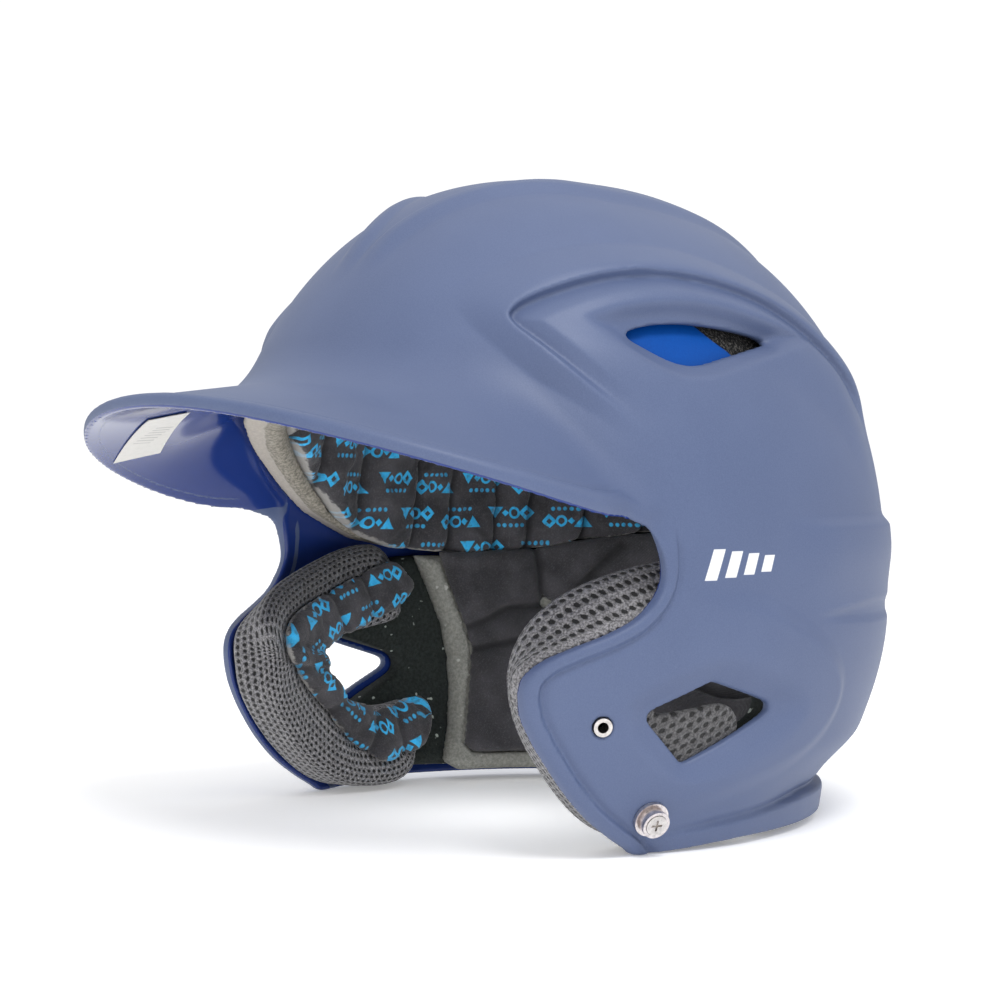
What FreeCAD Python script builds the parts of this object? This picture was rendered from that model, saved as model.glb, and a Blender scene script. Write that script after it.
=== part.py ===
import FreeCAD, Part
import math
import os

# Double-flap batting helmet. Millimetres, +Z up, bill towards -Y, wearer's left is +X.
# The origin is on the ground under the middle of the helmet, in its plane of symmetry.

V = FreeCAD.Vector

# ---- outer form of the moulded shell -------------------------------------------------
CROWN_HEIGHT = 210.0        # top of the crown above the ground
WIDEST_LEVEL = 71.0         # height of the widest section
HALF_WIDTH = 108.5
FRONT_REACH = 105.5         # from the section centre to the brow
REAR_REACH = 129.5          # from the section centre to the back of the head
SECTION_CENTRE = 7.0        # Y of the section centre at the widest level
CROWN_LEAN = 7.4            # how far the centre moves forward at the crown
SIDE_POWER = 2.25           # how squarely each profile turns over the crown
FRONT_POWER = 1.9
REAR_POWER = 2.64
REAR_SECTION_POWER = 2.1
SIDE_TUCK = 19.7            # how far the sides pull in at ground level
REAR_TUCK = 31.6            # how far the nape pulls in at ground level
WALL = 3.4

# ---- bill -----------------------------------------------------------------------------
BILL_TIP = -136.5           # Y of the front edge
BILL_HALF_WIDTH = 110.0
BILL_ROOT = -61.5           # Y where the bill is widest
BILL_UNDER_TIP = 132.6      # height of the underside at the tip
BILL_SLOPE = 0.12
BILL_ARCH = 0.0022          # sideways droop at the tip, per mm of x squared
BILL_EXTRA_ARCH = 0.00154   # further droop one reach behind the tip
BILL_ARCH_REACH = 93.3
BILL_THICKNESS = 4.0

# ---- layers inside the shell, as depth below the outer face ------------------------------
FOAM_OUT = 3.6
FOAM_IN = 13.0
PAD_OUT = 13.2
PAD_IN = 23.0
BACKING_IN = 19.5
COVER_OUT = 19.7
COVER_IN = 22.6
CORE_IN = 19.0
RING_OUT = 22.8
RING_IN = 29.5
HOOK_OUT = 11.6
CROWN_PAD_IN = 20.0
VENT_LINER_OUT = 4.6
VENT_LINER_IN = 6.6
GAP = 0.15

# ---- hardware ----------------------------------------------------------------------------
SNAP_Y = -18.0
SNAP_Z = 11.9
INSERT_Y = -38.4
INSERT_Z = 40.3
SCREW_RADIUS = 2.0
THREAD_CLEARANCE = 0.05
SHELL_HOLE_RADIUS = 3.2
BARREL_RADIUS = 3.0
TEE_FLANGE_RADIUS = 7.0
TEE_FLANGE_THICKNESS = 1.2
TEE_FLANGE_DEPTH = 3.9      # top of the tee nut's flange, below the outer face
WASHER_RADIUS = 5.5
WASHER_THICKNESS = 1.2
WASHER_LIFT = 0.02
STUD_RADIUS = 4.35
STUD_WAIST_RADIUS = 3.7
STUD_HEIGHT = 3.0
SCREW_HEAD_RADIUS = 3.3
SCREW_HEAD_HEIGHT = 1.5
SCREW_LENGTH = 9.5
EYELET_RADIUS = 2.8
EYELET_BORE = 1.65
POCKET_RADIUS = 8.0         # room in the foam for a tee nut's flange
POCKET_DEPTH = 6.0
RECESS_LENGTH = 3.6         # arm span of the screwdriver cross
RECESS_WIDTH = 0.7
RECESS_DEPTH = 0.9

# ---- soft parts ------------------------------------------------------------------------
CROWN_FOAM_LEVEL = 161.0    # lowest level and foremost Y of the crown foam
CROWN_FOAM_FRONT = -40.0
CROWN_PAD_CENTRE = 5.0      # Y of the round crown pad and its hook patch
CROWN_PAD_RADIUS = 46.0
CROWN_HOOK_RADIUS = 22.0
CROWN_HOOK_LEVEL = 150.0
SIDE_FOAM_START = 20.0      # X where the foam behind each ear flap begins
HOOK_HALF_SIZE = 8.0
BAND_HOOKS = [(-30.0, 127.0), (5.0, 112.0)]
REAR_HOOKS = [(84.0, 113.0), (90.0, 45.0)]
LABEL_DROP = 0.35           # underside of the blank label below the bill's underside
LABEL_THICKNESS = 0.25

# ---- room taken by helper solids -------------------------------------------------------
FAR = 140.0                 # beyond every side face
ABOVE = 220.0               # higher than the crown

# ---- side outlines, as (Y, Z) -------------------------------------------------------------
FLAP_FRONT = [(-23.5, 87.0), (-24.5, 82.0), (-31.5, 73.0), (-48.5, 64.2), (-57.0, 60.0),
              (-61.3, 52.5), (-57.0, 40.0), (-51.8, 31.8), (-43.4, 21.0), (-28.0, 8.0), (-15.0, 0.0)]
EAR_HOLE = [(-27.0, 43.4), (-7.7, 52.4), (20.0, 44.5), (-11.8, 28.2)]
UPPER_VENT = [(-19.2, 155.5), (0.6, 158.6), (30.7, 153.7), (-0.7, 146.6)]
VENT_LINER = [(-28.0, 145.0), (20.0, 145.0), (12.0, 160.0), (-28.0, 160.0)]
FRONT_FOAM = [(-120.0, 143.0), (-60.0, 129.0), (-40.0, 116.7), (-16.4, 102.0), (6.0, 92.4),
              (28.0, 88.4), (28.0, 143.0), (-30.0, 143.0), (-48.0, 172.0), (-120.0, 172.0)]
SIDE_FOAM = [(-15.0, 83.0), (-35.0, 68.0), (-50.0, 60.0), (-56.0, 52.0), (-50.0, 38.0),
             (-38.0, 21.0), (-22.0, 8.0), (-12.0, 4.0), (62.0, 4.0), (62.0, 86.0),
             (28.0, 86.5), (6.0, 89.0)]
REAR_FOAM = [(30.0, 89.0), (63.5, 87.5), (63.5, 4.0), (145.0, 4.0), (145.0, 143.0), (30.0, 143.0)]
HEADBAND = [(-120.0, 146.0), (-60.0, 134.0), (-43.0, 126.5), (-26.0, 113.0), (-8.0, 99.5),
            (16.0, 90.0), (45.0, 87.0), (70.0, 87.0), (97.0, 93.5), (145.0, 100.0),
            (145.0, 138.0), (40.0, 132.0), (-25.0, 142.0), (-65.0, 164.0), (-120.0, 168.0)]
EAR_PAD = [(28.0, 84.5), (-15.0, 78.5), (-36.0, 68.0), (-53.0, 59.0), (-56.0, 51.0), (-49.0, 34.0),
           (-35.0, 18.0), (-18.0, 6.0), (14.0, 5.0), (27.0, 12.0), (28.0, 28.0), (10.0, 28.0),
           (-12.0, 26.0), (-29.0, 43.0), (-9.0, 56.0), (28.0, 62.0)]
EAR_RING = [(25.0, 81.0), (-12.0, 74.0), (-36.0, 65.0), (-44.0, 56.0), (-39.0, 42.0), (-23.0, 25.0),
            (-9.0, 12.0), (12.0, 9.0), (24.0, 15.0), (25.0, 31.0), (5.0, 29.0), (-11.0, 31.0),
            (-21.0, 43.0), (-9.0, 55.0), (22.0, 63.0)]
REAR_PAD = [(28.0, 84.5), (39.0, 62.0), (44.0, 38.0), (37.0, 17.0), (28.0, 6.0), (145.0, 6.0),
            (145.0, 84.5)]
LABEL = [(-91.0, -97.5), (-46.6, -108.7), (-39.5, -97.5), (-83.0, -84.0)]


def section_size(level, depth):
    """Centre, half width, front reach and rear reach of the section at one height."""
    top = CROWN_HEIGHT - depth
    rise = min(1.0, max(0.0, (level - WIDEST_LEVEL) / (top - WIDEST_LEVEL)))
    dip = max(0.0, (WIDEST_LEVEL - level) / WIDEST_LEVEL)
    centre = SECTION_CENTRE - CROWN_LEAN * rise ** 2
    half = (HALF_WIDTH - depth) * (1 - rise ** SIDE_POWER) ** (1 / SIDE_POWER) - SIDE_TUCK * dip ** 2
    front = (FRONT_REACH - depth) * (1 - rise ** FRONT_POWER) ** (1 / FRONT_POWER)
    rear = (REAR_REACH - depth) * (1 - rise ** REAR_POWER) ** (1 / REAR_POWER) - REAR_TUCK * dip ** 2
    return centre, half, front, rear


def section_wire(level, depth, count=32):
    """Closed egg-shaped section: an ellipse in front and a slightly squarer curve behind."""
    centre, half, front, rear = section_size(level, depth)
    points = []
    for step in range(count):
        angle = 2 * math.pi * step / count
        across = math.sin(angle)
        along = math.cos(angle)
        if along > 0:
            points.append(V(half * across, centre - front * along, level))
        else:
            power = REAR_SECTION_POWER
            spread = (abs(across) ** power + abs(along) ** power) ** (-1 / power)
            points.append(V(half * across * spread, centre - rear * along * spread, level))
    curve = Part.BSplineCurve()
    parameters = [float(step) for step in range(count + 1)]
    curve.interpolate(Points=points, PeriodicFlag=True, Parameters=parameters)
    return Part.Wire([curve.toShape()])


def dome(depth, foot=0.0):
    """Solid bounded by the surface that lies a given depth below the outer face."""
    low_levels = [foot, 14.0, 28.0, 42.0, 56.0, WIDEST_LEVEL]
    turns = [14.0, 28.0, 40.0, 51.0, 61.0, 70.0, 77.0, 82.0, 85.5]
    rise = CROWN_HEIGHT - depth - WIDEST_LEVEL
    high_levels = [WIDEST_LEVEL + rise * math.sin(math.radians(turn)) for turn in turns]
    wires = [section_wire(level, depth) for level in low_levels + high_levels]
    return Part.makeLoft(wires, True, False)


def bill_underside(x, y):
    back = (y - BILL_TIP) / BILL_ARCH_REACH
    arch = BILL_ARCH + BILL_EXTRA_ARCH * max(0.0, back) ** 2.5
    return BILL_UNDER_TIP + BILL_SLOPE * (y - BILL_TIP) - arch * x * x


def bill_sheet(offset, reach=135.0):
    """Arched face parallel to the bill's underside, raised by an offset."""
    rows = []
    for row in range(13):
        y = -160.0 + 15.0 * row
        line = []
        for column in range(15):
            x = reach * (column - 7) / 7
            line.append(V(x, y, bill_underside(x, y) + offset))
        rows.append(line)
    surface = Part.BSplineSurface()
    surface.interpolate(rows)
    return surface.toShape()


def side_prism(outline, x_from=-FAR):
    """Straight-sided outline in the Y-Z plane, pushed along X."""
    points = [V(x_from, y, z) for y, z in outline]
    wire = Part.makePolygon(points + points[:1])
    return Part.Face(wire).extrude(V(FAR - x_from, 0, 0))


def rounded_prism(outline, radius, x_from):
    """The same, with every corner of the outline rounded."""
    prism = side_prism(outline, x_from)
    corners = []
    for edge in prism.Edges:
        start, end = edge.Vertexes[0].Point, edge.Vertexes[-1].Point
        if abs(start.x - end.x) > 1.0:
            corners.append(edge)
    return prism.makeFillet(radius, corners)


def layer(outer, inner, foot=0.0):
    return dome(outer, foot).cut(dome(inner, foot - 2.0))


def surface_point(y, z):
    """Point of the outer face at a place on the wearer's left side."""
    centre, half, front, rear = section_size(z, 0.0)
    reach = front if y < centre else rear
    return V(half * math.sqrt(1 - ((y - centre) / reach) ** 2), y, z)


def surface_normal(y, z):
    step = 0.5
    along = surface_point(y + step, z) - surface_point(y - step, z)
    upward = surface_point(y, z + step) - surface_point(y, z - step)
    return along.cross(upward).normalize()


def disc(centre, axis, radius, start, length):
    return Part.makeCylinder(radius, length, centre + axis * start, axis)


def mirrored(shape):
    return shape.mirror(V(0, 0, 0), V(1, 0, 0))


def largest_solid(shape):
    solids = sorted(shape.Solids, key=lambda solid: solid.Volume)
    return solids[-1]


def save(name, shape):
    shape.exportStep("parts/" + name + ".step")


def save_pair(name, left_shape):
    save(name + "_left", left_shape)
    save(name + "_right", mirrored(left_shape))


# ---- openings ---------------------------------------------------------------------------

def face_opening():
    """Everything under the bill and ahead of the ear flaps."""
    outline = FLAP_FRONT + [(-15.0, -10.0), (-170.0, -10.0), (-170.0, 165.0), (-23.5, 165.0)]
    below_bill = bill_sheet(0.0).extrude(V(0, 0, -260))
    return below_bill.common(side_prism(outline))


def side_openings():
    """Ear hole and upper vent of the wearer's left side."""
    ear = rounded_prism(EAR_HOLE, 3.0, SIDE_FOAM_START)
    vent = rounded_prism(UPPER_VENT, 2.0, SIDE_FOAM_START)
    return ear.fuse(vent)


# ---- moulded shell ------------------------------------------------------------------------

def outer_shell():
    blank = bill_sheet(BILL_THICKNESS - 14.0).extrude(V(0, 0, 14))
    ellipse = Part.Ellipse(V(0, BILL_ROOT, 0), BILL_HALF_WIDTH, BILL_ROOT - BILL_TIP)
    plan = Part.Face(Part.Wire([ellipse.toShape()])).extrude(V(0, 0, 220))
    bill = blank.common(plan)
    shape = dome(0.0).fuse(bill)
    shape = shape.cut(dome(WALL, -4.0))
    shape = shape.cut(face_opening())
    holes = side_openings()
    for y, z in ((SNAP_Y, SNAP_Z), (INSERT_Y, INSERT_Z)):
        holes = holes.fuse(disc(surface_point(y, z), surface_normal(y, z), SHELL_HOLE_RADIUS, -9.0, 15.0))
    shape = shape.cut(holes).cut(mirrored(holes))
    return largest_solid(shape)


# ---- impact foam ---------------------------------------------------------------------------

def hook_blocks(places):
    """Small rounded hook patches set into the foam on both sides, given by side position."""
    band = layer(HOOK_OUT, FOAM_IN)
    pieces = []
    for y, z in places:
        low_y, high_y = y - HOOK_HALF_SIZE, y + HOOK_HALF_SIZE
        low_z, high_z = z - HOOK_HALF_SIZE, z + HOOK_HALF_SIZE
        outline = [(low_y, low_z), (high_y, low_z), (high_y, high_z), (low_y, high_z)]
        patch = band.common(rounded_prism(outline, 0.4 * HOOK_HALF_SIZE, SIDE_FOAM_START)).Solids[0]
        pieces.append(patch)
        pieces.append(mirrored(patch))
    return Part.makeCompound(pieces)


def crown_cylinder(radius):
    return Part.makeCylinder(radius, ABOVE, V(0, CROWN_PAD_CENTRE, CROWN_HOOK_LEVEL))


def crown_hook_patch():
    return layer(HOOK_OUT, FOAM_IN).common(crown_cylinder(CROWN_HOOK_RADIUS)).Solids[0]


def hardware_pockets():
    pockets = []
    for y, z in ((SNAP_Y, SNAP_Z), (INSERT_Y, INSERT_Z)):
        centre, axis = surface_point(y, z), surface_normal(y, z)
        pockets.append(disc(centre, axis, POCKET_RADIUS, -POCKET_DEPTH - FOAM_OUT, POCKET_DEPTH + FOAM_OUT))
        pockets.append(disc(centre, axis, SHELL_HOLE_RADIUS, -FOAM_IN - 4.0, FOAM_IN + 4.0))
    return Part.makeCompound(pockets)


# ---- metal hardware -------------------------------------------------------------------------

def tee_nut(centre, axis):
    flange_base = -TEE_FLANGE_DEPTH - TEE_FLANGE_THICKNESS
    body = disc(centre, axis, TEE_FLANGE_RADIUS, flange_base, TEE_FLANGE_THICKNESS)
    body = body.fuse(disc(centre, axis, BARREL_RADIUS, flange_base, -0.2 - flange_base))
    bore = SCREW_RADIUS + THREAD_CLEARANCE
    return body.cut(disc(centre, axis, bore, flange_base - 1.0, 20.0)).removeSplitter()


def face_guard_insert(centre, axis):
    flange_base = -TEE_FLANGE_DEPTH - TEE_FLANGE_THICKNESS
    body = disc(centre, axis, TEE_FLANGE_RADIUS, flange_base, TEE_FLANGE_THICKNESS)
    body = body.fuse(disc(centre, axis, EYELET_RADIUS, flange_base, 0.1 - flange_base))
    return body.cut(disc(centre, axis, EYELET_BORE, flange_base - 1.0, 20.0)).removeSplitter()


def snap_washer(centre, axis):
    body = disc(centre, axis, WASHER_RADIUS, WASHER_LIFT, WASHER_THICKNESS)
    return body.cut(disc(centre, axis, SCREW_RADIUS + 0.2, -1.0, 6.0))


def snap_stud(centre, axis):
    base = WASHER_LIFT + WASHER_THICKNESS + 0.02
    waist = disc(centre, axis, STUD_WAIST_RADIUS, base, STUD_HEIGHT)
    rim = disc(centre, axis, STUD_RADIUS, base + 1.1, STUD_HEIGHT - 1.1)
    bore = disc(centre, axis, SCREW_RADIUS + THREAD_CLEARANCE, base - 1.0, STUD_HEIGHT + 4.0)
    seat = disc(centre, axis, SCREW_HEAD_RADIUS + 0.1, base + STUD_HEIGHT - 1.3, 4.0)
    return waist.fuse(rim).cut(bore).cut(seat).removeSplitter()


def snap_screw(centre, axis):
    seat = WASHER_LIFT + WASHER_THICKNESS + 0.02 + STUD_HEIGHT - 1.3 + 0.02
    head = disc(centre, axis, SCREW_HEAD_RADIUS, seat, SCREW_HEAD_HEIGHT)
    shank = disc(centre, axis, SCREW_RADIUS, seat - SCREW_LENGTH, SCREW_LENGTH)
    side = axis.cross(V(0, 0, 1)).normalize()
    other = axis.cross(side)
    screw = head.fuse(shank)
    floor = centre + axis * (seat + SCREW_HEAD_HEIGHT - RECESS_DEPTH)
    for direction in (side, other):
        across = axis.cross(direction) * RECESS_WIDTH
        arm = direction * RECESS_LENGTH
        corner = floor - (arm + across) * 0.5
        points = [corner, corner + arm, corner + arm + across, corner + across]
        slot = Part.Face(Part.makePolygon(points + points[:1])).extrude(axis * 2.0)
        screw = screw.cut(slot)
    return screw.removeSplitter()


# ---- foam and pads ----------------------------------------------------------------------------

def front_foam_liner():
    foam = layer(FOAM_OUT, FOAM_IN).common(side_prism(FRONT_FOAM))
    return largest_solid(foam.cut(hook_blocks(BAND_HOOKS)))


def rear_foam_liner():
    foam = layer(FOAM_OUT, FOAM_IN).common(side_prism(REAR_FOAM))
    return largest_solid(foam.cut(hook_blocks(REAR_HOOKS)))


def crown_foam_liner():
    block = Part.makeBox(2 * FAR, 2 * FAR, ABOVE, V(-FAR, CROWN_FOAM_FRONT, CROWN_FOAM_LEVEL))
    foam = layer(FOAM_OUT, FOAM_IN).common(block)
    return largest_solid(foam.cut(crown_hook_patch()))


def side_foam_liner():
    foam = layer(FOAM_OUT, FOAM_IN).common(side_prism(SIDE_FOAM, SIDE_FOAM_START))
    return largest_solid(foam.cut(side_openings()).cut(hardware_pockets()))


def headband_pad():
    return largest_solid(layer(PAD_OUT, PAD_IN).common(side_prism(HEADBAND)))


def crown_comfort_pad():
    return largest_solid(layer(PAD_OUT, CROWN_PAD_IN).common(crown_cylinder(CROWN_PAD_RADIUS)))


def rear_pad(outer, inner):
    return largest_solid(layer(outer, inner).common(side_prism(REAR_PAD)))


def ear_pad(outer, inner, outline):
    prism = rounded_prism(outline, 2.0, SIDE_FOAM_START)
    return largest_solid(layer(outer, inner).common(prism))


def vent_liner():
    prism = rounded_prism(VENT_LINER, 3.0, SIDE_FOAM_START)
    return largest_solid(layer(VENT_LINER_OUT, VENT_LINER_IN).common(prism))


def blank_label():
    corners = [V(x, y, 0) for x, y in LABEL]
    plan = Part.Face(Part.makePolygon(corners + corners[:1])).extrude(V(0, 0, ABOVE))
    sheet = bill_sheet(-LABEL_DROP).extrude(V(0, 0, LABEL_THICKNESS))
    return sheet.common(plan).Solids[0]


# ---- build ------------------------------------------------------------------------------------

os.makedirs("parts", exist_ok=True)
save("outer_shell", outer_shell())
save("front_foam_liner", front_foam_liner())
save("rear_foam_liner", rear_foam_liner())
save("crown_foam_liner", crown_foam_liner())
save_pair("side_foam_liner", side_foam_liner())
save("front_hook_patches", hook_blocks(BAND_HOOKS))
save("rear_hook_patches", hook_blocks(REAR_HOOKS))
save("crown_hook_patch", crown_hook_patch())
save("headband_pad", headband_pad())
save("crown_comfort_pad", crown_comfort_pad())
save("rear_pad_backing", rear_pad(PAD_OUT, BACKING_IN))
save("rear_pad_cover", rear_pad(COVER_OUT, COVER_IN))
save_pair("ear_pad_core", ear_pad(PAD_OUT, CORE_IN, EAR_PAD))
save_pair("ear_pad_mesh", ear_pad(CORE_IN + GAP, PAD_IN - GAP, EAR_PAD))
save_pair("ear_comfort_ring", ear_pad(RING_OUT + GAP, RING_IN, EAR_RING))
save_pair("vent_liner", vent_liner())
save("blank_label", blank_label())

snap_centre, snap_axis = surface_point(SNAP_Y, SNAP_Z), surface_normal(SNAP_Y, SNAP_Z)
insert_centre, insert_axis = surface_point(INSERT_Y, INSERT_Z), surface_normal(INSERT_Y, INSERT_Z)
save_pair("snap_tee_nut", tee_nut(snap_centre, snap_axis))
save_pair("snap_washer", snap_washer(snap_centre, snap_axis))
save_pair("snap_stud", snap_stud(snap_centre, snap_axis))
save_pair("snap_screw", snap_screw(snap_centre, snap_axis))
save_pair("face_guard_insert", face_guard_insert(insert_centre, insert_axis))
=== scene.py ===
import math
import bpy
import numpy as np
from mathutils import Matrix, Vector


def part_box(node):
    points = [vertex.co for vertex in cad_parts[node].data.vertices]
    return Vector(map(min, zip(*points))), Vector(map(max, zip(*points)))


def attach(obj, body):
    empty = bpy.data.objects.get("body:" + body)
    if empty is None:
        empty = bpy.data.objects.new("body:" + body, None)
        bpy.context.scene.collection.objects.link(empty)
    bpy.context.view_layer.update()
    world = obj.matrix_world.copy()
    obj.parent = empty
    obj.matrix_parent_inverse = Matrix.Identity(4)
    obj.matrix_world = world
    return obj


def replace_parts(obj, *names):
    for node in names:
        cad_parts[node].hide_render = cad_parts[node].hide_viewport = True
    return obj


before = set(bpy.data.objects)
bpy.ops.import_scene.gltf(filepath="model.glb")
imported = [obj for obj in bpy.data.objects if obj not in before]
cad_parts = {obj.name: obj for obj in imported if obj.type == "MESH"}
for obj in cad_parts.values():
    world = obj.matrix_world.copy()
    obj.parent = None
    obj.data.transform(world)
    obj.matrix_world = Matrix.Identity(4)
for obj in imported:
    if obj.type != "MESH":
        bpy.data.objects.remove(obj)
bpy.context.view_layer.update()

MM = 0.001

# ---------------------------------------------------------------------------------------
# Driving sizes of the shell, in millimetres. Bill towards -Y, wearer's left is +X.
# ---------------------------------------------------------------------------------------
LOW, HIGH = [np.array(corner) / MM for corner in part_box("outer_shell")]
BILL_TIP = LOW[1]
BILL_HALF_WIDTH = HIGH[0]
WIDEST_LEVEL = 71.0
SECTION_CENTRE = 7.0
HALF_WIDTH = 108.5
FRONT_REACH = 105.5
REAR_REACH = HIGH[1] - SECTION_CENTRE
CROWN_HEIGHT = 210.0
CROWN_LEAN = 7.4
SIDE_POWER = 2.25
FRONT_POWER = 1.9
REAR_POWER = 2.64
REAR_SECTION_POWER = 2.1
SIDE_TUCK = 19.7
REAR_TUCK = 31.6
WALL = 3.4
BILL_ROOT = -61.5
BILL_UNDER_TIP = 132.6
BILL_SLOPE = 0.12
BILL_ARCH = 0.0022
BILL_EXTRA_ARCH = 0.00154
BILL_ARCH_REACH = 93.3
BILL_THICKNESS = 4.0
SHELL_BOX = ((0.0, -142.0, -3.0), (117.0, 143.0, 215.0))
GRID_STEP = 1.0
PAD_GRID_STEP = 1.3
SWELL_PRESSURE = 4.0
SWELL_SLACK = 0.04
SWELL_FRAMES = 10
SWELL_LIMIT = 1.6
SKY_AT_HORIZON = 0.6
SKY_OVERHEAD = 1.05
BACKDROP = 1.05
FLOOR_REACH = 6000
CAMERA_PLACE = (0.57322, -0.45015, 0.1134)
CAMERA_AIM = (-0.788, 0.6156, -0.01144)
CAMERA_LENS = 78.64

# Side outlines, as (y, z) in millimetres.
FLAP_FRONT = [(-22.2, 96.5), (-22.2, 88.0), (-23.0, 82.0), (-26.0, 76.5), (-31.0, 71.5), (-38.5, 67.3),
              (-47.0, 63.6), (-54.0, 59.8), (-58.0, 55.3), (-59.0, 50.0), (-58.0, 43.5), (-56.0, 38.5),
              (-52.3, 31.8), (-45.2, 21.6), (-37.0, 12.8), (-28.0, 6.0), (-21.3, 1.8), (-16.0, -3.0)]
EAR_HOLE_ROUNDING = 3.2
EAR_HOLE = [(-25.4, 43.3), (-3.4, 52.4), (24.5, 43.6), (-9.8, 27.6)]
EAR_RECESS = [(-7.5, 60.5), (7.0, 59.0), (19.0, 55.0), (34.0, 48.5), (38.0, 41.0), (32.0, 33.5), (21.1, 27.0),
              (-1.2, 20.5), (-17.0, 22.0), (-30.0, 34.0), (-35.5, 44.0), (-32.0, 51.0), (-22.0, 56.0)]
EAR_DOME = [(-70.0, 84.0), (-25.0, 82.0), (0.0, 79.0), (13.0, 77.0), (27.0, 71.5), (40.0, 65.0),
            (51.0, 57.5), (57.0, 49.0), (56.5, 40.0), (49.5, 31.0), (36.0, 23.0), (18.0, 18.0),
            (0.0, 14.0), (-20.0, 10.0)]
VENT_HOLE = [(-21.0, 155.2), (-12.1, 158.2), (0.9, 159.3), (14.9, 158.7), (33.0, 156.6), (39.0, 154.4),
             (26.0, 151.6), (13.0, 148.6), (5.0, 146.6), (-1.5, 146.0), (-8.0, 147.3), (-14.5, 150.8)]
VENT_RECESS = [(-34.5, 159.4), (-32.1, 161.5), (-19.8, 165.4), (1.3, 167.3), (19.6, 165.8), (36.2, 161.8),
               (68.0, 157.5), (27.9, 148.4), (7.6, 142.5), (-6.1, 141.0), (-14.7, 143.8), (-25.2, 150.8)]
CREST_OUTER = [(-26.0, 118.0), (-33.0, 127.0), (-41.0, 134.0), (-49.5, 141.5), (-55.4, 151.4),
               (-58.0, 160.0), (-55.7, 167.7), (-48.0, 174.5), (-34.8, 180.5), (-14.5, 184.0),
               (11.1, 183.4), (35.0, 178.0), (62.0, 168.6), (84.0, 156.0), (98.0, 142.0), (107.0, 128.0)]
CREST_INNER = [(-20.0, 120.0), (-29.0, 130.0), (-38.0, 139.5), (-46.6, 150.4), (-51.5, 158.5),
               (-49.6, 163.4), (-40.8, 168.4), (-25.6, 173.4), (-9.0, 175.7), (11.5, 175.0),
               (38.0, 169.6), (63.0, 158.5), (82.0, 145.5), (96.0, 130.0)]
NAPE_CREASE = [(-40.0, 2.6), (-20.0, 4.6), (-5.0, 6.8), (11.0, 8.4), (30.0, 10.0), (49.0, 11.4), (68.0, 12.0),
               (150.0, 12.0)]

EAR_MESH = [(14.0, 84.8), (4.0, 83.5), (-17.0, 77.5), (-33.0, 71.0), (-45.0, 65.5), (-56.0, 60.0),
            (-59.0, 54.0), (-58.0, 47.0), (-54.0, 37.5), (-44.0, 23.5), (-32.0, 11.5), (-22.0, 4.5),
            (-12.0, 2.0), (4.0, 2.0), (14.0, 4.5), (19.5, 12.0), (21.0, 22.0), (21.0, 45.0), (19.5, 72.0)]
ROLL_TOP = {"left": [(0.0, 87.5), (-10.0, 86.8), (-18.0, 85.5), (-25.6, 83.5), (-33.8, 80.5), (-40.5, 76.5),
                     (-46.5, 70.5), (-50.0, 63.0)],
            "right": [(1.0, 86.5), (-9.0, 84.0), (-17.5, 81.1), (-30.0, 77.0), (-42.0, 73.0), (-50.0, 67.5),
                      (-54.0, 61.0)]}
EAR_ROLL = [(-51.5, 54.0), (-49.5, 42.0), (-44.5, 31.0), (-34.0, 17.0),
            (-23.0, 8.0), (-12.0, 4.0), (4.0, 3.0), (14.0, 6.0), (19.0, 13.0), (20.5, 22.0), (20.5, 45.0),
            (19.5, 72.0), (13.0, 86.5)]
EAR_OPENING = [(45.0, 62.0), (24.0, 60.5), (8.0, 57.5), (-9.0, 55.0), (-18.5, 51.0), (-19.0, 43.5),
               (-10.0, 33.0), (3.0, 29.0), (20.0, 32.0), (45.0, 36.0)]
BACK_OPENING = {"left": [(45.0, 60.0), (24.0, 60.0), (8.0, 58.0), (-9.0, 56.5), (-17.0, 49.5), (-22.0, 43.0),
                         (-8.0, 44.5), (5.0, 46.5), (11.5, 40.5), (12.0, 35.5), (5.0, 28.0), (22.0, 28.0),
                         (45.0, 34.0)],
                "right": [(45.0, 62.0), (24.0, 61.0), (8.0, 58.5), (-9.0, 56.5), (-17.0, 52.0), (-16.0, 44.0),
                          (-7.0, 33.0), (4.0, 28.0), (20.0, 31.0), (45.0, 34.0)]}
SIDE_FOAM = [(-15.0, 74.0), (-35.0, 62.0), (-47.0, 56.0), (-50.5, 50.5), (-46.5, 39.0),
             (-35.5, 24.0), (-20.0, 11.5), (-10.0, 7.5), (62.0, 5.0), (62.0, 83.2),
             (28.0, 82.8), (6.0, 79.5)]
RING_PATH = [(19.0, 73.5), (2.0, 70.0), (-15.0, 64.5), (-28.0, 58.5), (-34.0, 51.0), (-29.0, 41.5),
             (-20.0, 31.0), (-10.5, 21.5), (2.0, 18.0), (17.0, 23.5)]
RING_OUTLINE = [(-45.0, 57.8), (-37.0, 65.3), (-11.4, 73.5), (14.0, 83.0), (18.8, 81.0), (25.3, 73.0),
                (19.7, 64.7), (0.2, 57.4), (-17.7, 52.2), (-17.8, 44.0), (-8.3, 32.7), (3.7, 29.4),
                (21.2, 33.8), (24.8, 31.0), (25.4, 24.5), (18.5, 14.3), (-0.6, 9.7), (-12.7, 16.7),
                (-23.0, 29.8), (-39.3, 46.9)]
RING_FOLDS = [[(-45.0, 57.0), (-17.0, 50.0)], [(-38.0, 47.0), (-14.0, 43.0)], [(-22.0, 30.0), (-8.0, 34.0)],
              [(-8.0, 13.0), (2.0, 30.0)], [(8.0, 11.0), (9.0, 31.0)], [(-16.0, 72.0), (-8.0, 55.0)],
              [(0.0, 78.0), (6.0, 60.0)]]
FRONT_FOAM = [(-130.0, 145.0), (-60.0, 128.5), (-40.0, 116.7), (-16.4, 100.2), (6.0, 89.9), (28.0, 85.4),
              (28.0, 143.0), (-30.0, 143.0), (-48.0, 172.0), (-130.0, 172.0)]
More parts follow.
